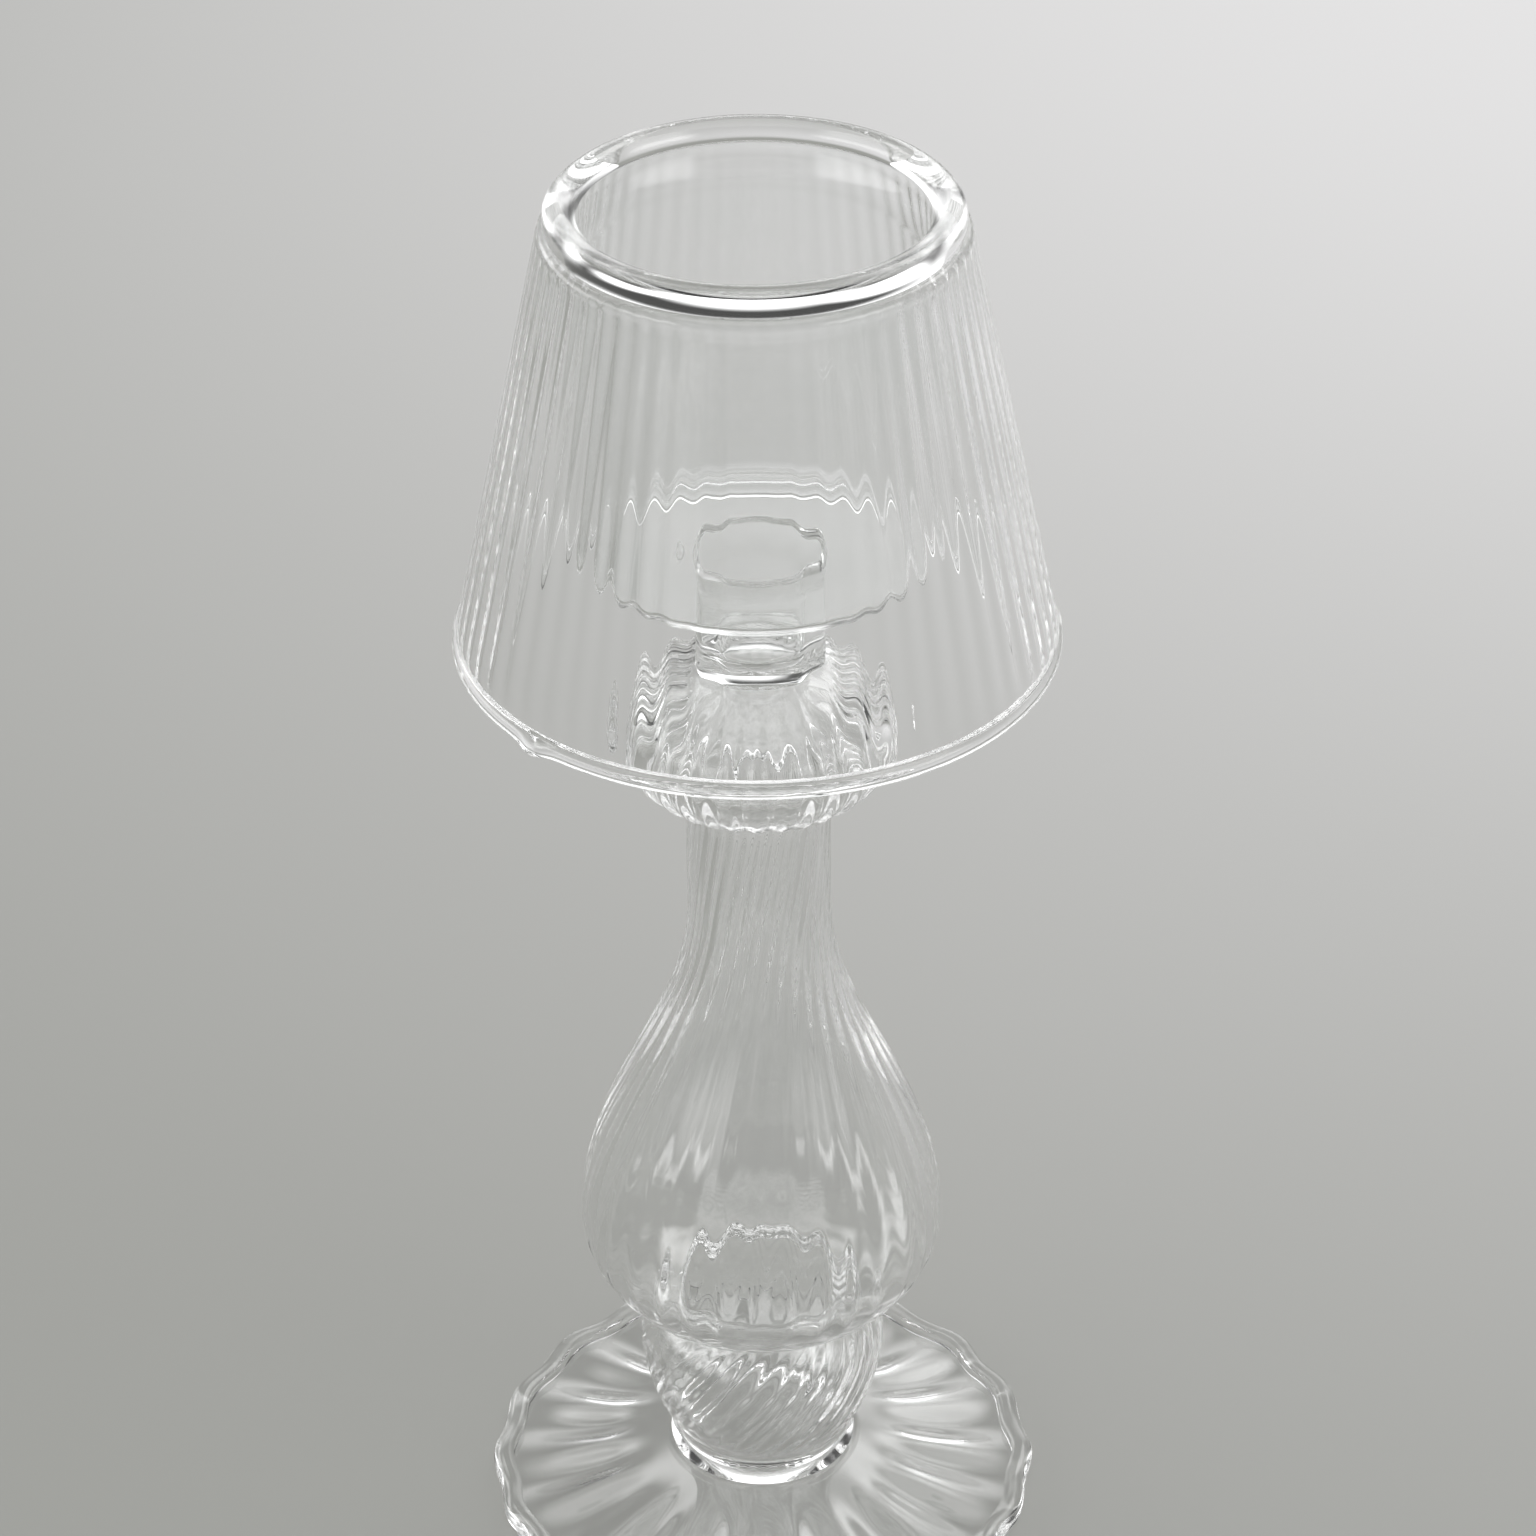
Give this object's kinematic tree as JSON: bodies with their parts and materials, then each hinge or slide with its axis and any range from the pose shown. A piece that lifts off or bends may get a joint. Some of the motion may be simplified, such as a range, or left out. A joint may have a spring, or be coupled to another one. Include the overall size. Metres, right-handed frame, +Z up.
{
  "type": "tea light holder",
  "caption": "Clear blown-glass tea light holder shaped like a small table lamp, with a ribbed double-walled shade, a pear-shaped baluster and a fluted foot.",
  "frame": {"origin": "on the table surface, under the centre of the foot", "axes": "+Z up along the axis of the baluster; the picture looks along +Y from above"},
  "size_m": [0.0858, 0.0858, 0.22],
  "materials": {
    "foot_rim": "clear, fire-polished",
    "foot_disc": "clear, fluted",
    "seal_ring": "clear, fire-polished",
    "lower_bulb": "clear, with twisted ribs",
    "pear_body": "clear, with twisted ribs",
    "knob": "clear, ribbed",
    "stem": "clear, fire-polished",
    "candle_cup": "clear, smooth",
    "rolled_lip": "clear, fire-polished",
    "shade_cone": "clear, ribbed",
    "shade_edge": "clear, fire-polished"
  },
  "bodies": {
    "root": {"foot_rim": "foot_rim", "foot_disc": "foot_disc", "seal_ring": "seal_ring", "lower_bulb": "lower_bulb", "pear_body": "pear_body", "knob": "knob", "stem": "stem", "candle_cup": "candle_cup", "rolled_lip": "rolled_lip", "shade_cone": "shade_cone", "shade_edge": "shade_edge"}
  },
  "joints": []
}
